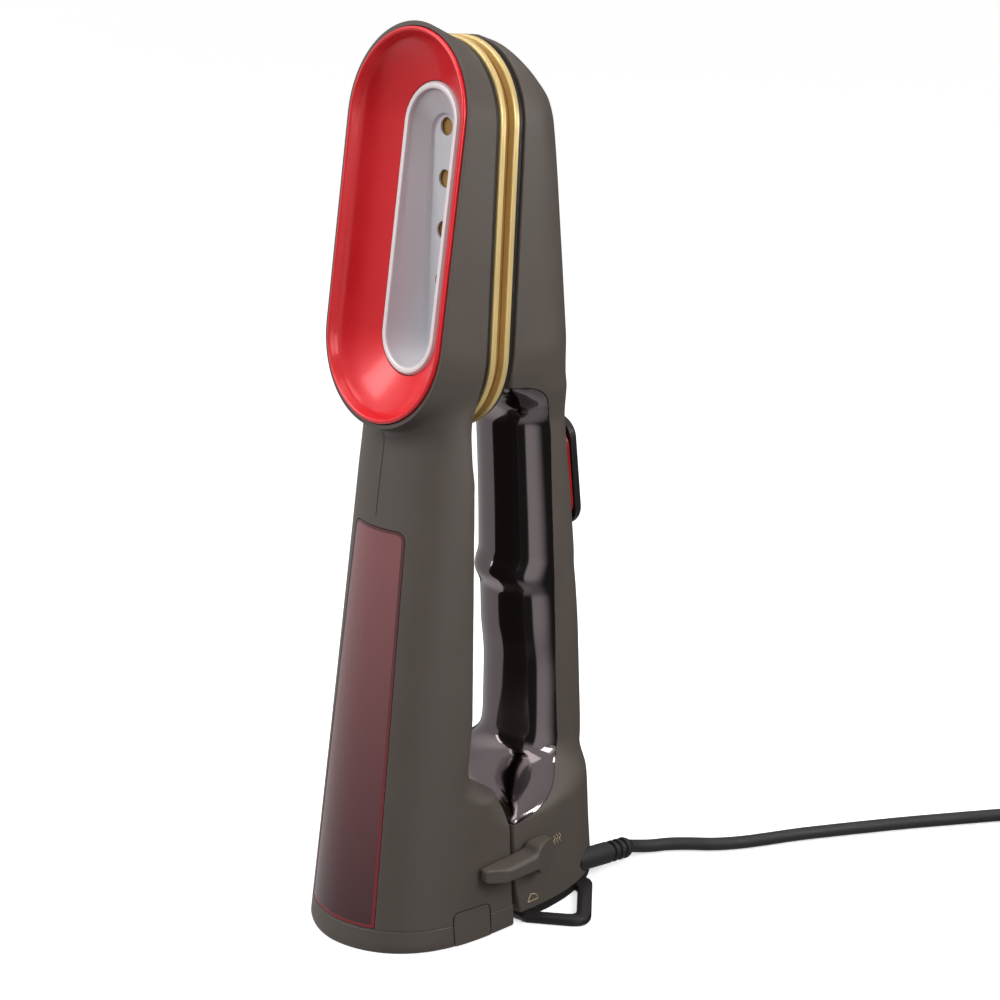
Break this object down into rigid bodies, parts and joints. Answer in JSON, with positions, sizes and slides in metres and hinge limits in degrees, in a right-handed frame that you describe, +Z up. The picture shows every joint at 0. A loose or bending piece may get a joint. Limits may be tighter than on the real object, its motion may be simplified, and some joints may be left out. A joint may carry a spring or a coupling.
{
  "type": "garment steamer",
  "caption": "Upright hand-held garment steamer that opens into a fabric press, with water tank, finger grip, trigger, mode lever and coiled mains lead.",
  "frame": {"origin": "on the floor, in the middle of the seam between the steam half and the handle half, on the underside of the base plate's tongue", "axes": "+Z up, +Y towards the handle and the cord, -Y the way the steam face looks, +X the side with the mode lever"},
  "size_m": [0.2464, 0.3403, 0.3404],
  "materials": {
    "taupe_plastic": "fine satin moulded plastic, warm grey-brown",
    "black_plastic": "satin moulded plastic, near black",
    "black_chrome": "mirror black chrome",
    "gold_plate": "gold ceramic coating on aluminium, satin",
    "red_metallic": "metallic red lacquer",
    "red_plastic": "glossy red plastic",
    "silver_nozzle": "light silver-grey heat-proof plastic",
    "window": "burgundy translucent plastic",
    "tank": "smoky clear plastic",
    "silicone": "translucent silicone",
    "cast_aluminium": "rough cast",
    "heater_sheath": "drawn sheath",
    "steel": "plain steel",
    "rubber": "flexible black PVC and rubber",
    "circuit_board": "green solder mask"
  },
  "bodies": {
    "handle_half": {"rear_shell": "taupe_plastic", "grip_insert": "black_chrome", "handle_plate_carrier": "black_plastic", "handle_press_plate": "gold_plate", "plate_heater": "heater_sheath", "thermostat": "cast_aluminium", "thermal_fuse": "steel", "control_board": "circuit_board", "microswitch": "black_plastic", "trigger_spring": "steel", "base_plate": "black_plastic", "handle_foot_left": "rubber", "handle_foot_right": "rubber", "handle_screw_left": "steel", "handle_screw_right": "steel", "handle_hinge_bracket": "steel", "hinge_pin": "steel", "cord_clamp": "black_plastic", "strain_relief": "rubber", "power_cord": "rubber", "cord_coil": "rubber", "cord_tail": "rubber", "power_plug": "rubber", "plug_blade_left": "steel", "plug_blade_right": "steel"},
    "steam_half": {"steam_housing": "taupe_plastic", "steam_base_cap": "taupe_plastic", "steam_foot_left": "rubber", "steam_foot_right": "rubber", "steam_screw_left": "steel", "steam_screw_right": "steel", "water_tank": "tank", "tank_lid": "tank", "tank_window": "window", "filler_neck": "black_plastic", "pump": "black_plastic", "suction_tube": "silicone", "water_line": "silicone", "face_dish": "red_metallic", "steam_nozzle": "silver_nozzle", "boiler": "cast_aluminium", "boiler_heater": "heater_sheath", "steam_plate_carrier": "black_plastic", "steam_press_plate": "gold_plate", "steam_hinge_bracket": "steel"},
    "fill_door": {"fill_door": "taupe_plastic", "door_seal": "silicone"},
    "trigger": {"trigger_core": "red_plastic", "trigger_pad": "black_plastic"},
    "mode_lever": {"mode_lever": "taupe_plastic", "lever_retainer": "steel"}
  },
  "joints": [
    {"name": "press_hinge", "type": "hinge", "parent": "handle_half", "child": "steam_half", "pos_m": [0, 0, 0.022], "axis": [1, 0, 0], "range_deg": [0, 6.5]},
    {"name": "trigger_press", "type": "slide", "parent": "handle_half", "child": "trigger", "axis": [0, -0.9943, -0.1063], "range_m": [0, 0.0025], "stiffness_N_per_m": 900, "springref_m": -0.001},
    {"name": "lever_turn", "type": "hinge", "parent": "handle_half", "child": "mode_lever", "pos_m": [0.04, 0.0125, 0.0276], "axis": [-1, 0, 0], "range_deg": [0, 85]},
    {"name": "door_swing", "type": "hinge", "parent": "steam_half", "child": "fill_door", "pos_m": [0.03855, -0.0119, 0.007], "axis": [0, 0, 1], "range_deg": [0, 95]}
  ]
}
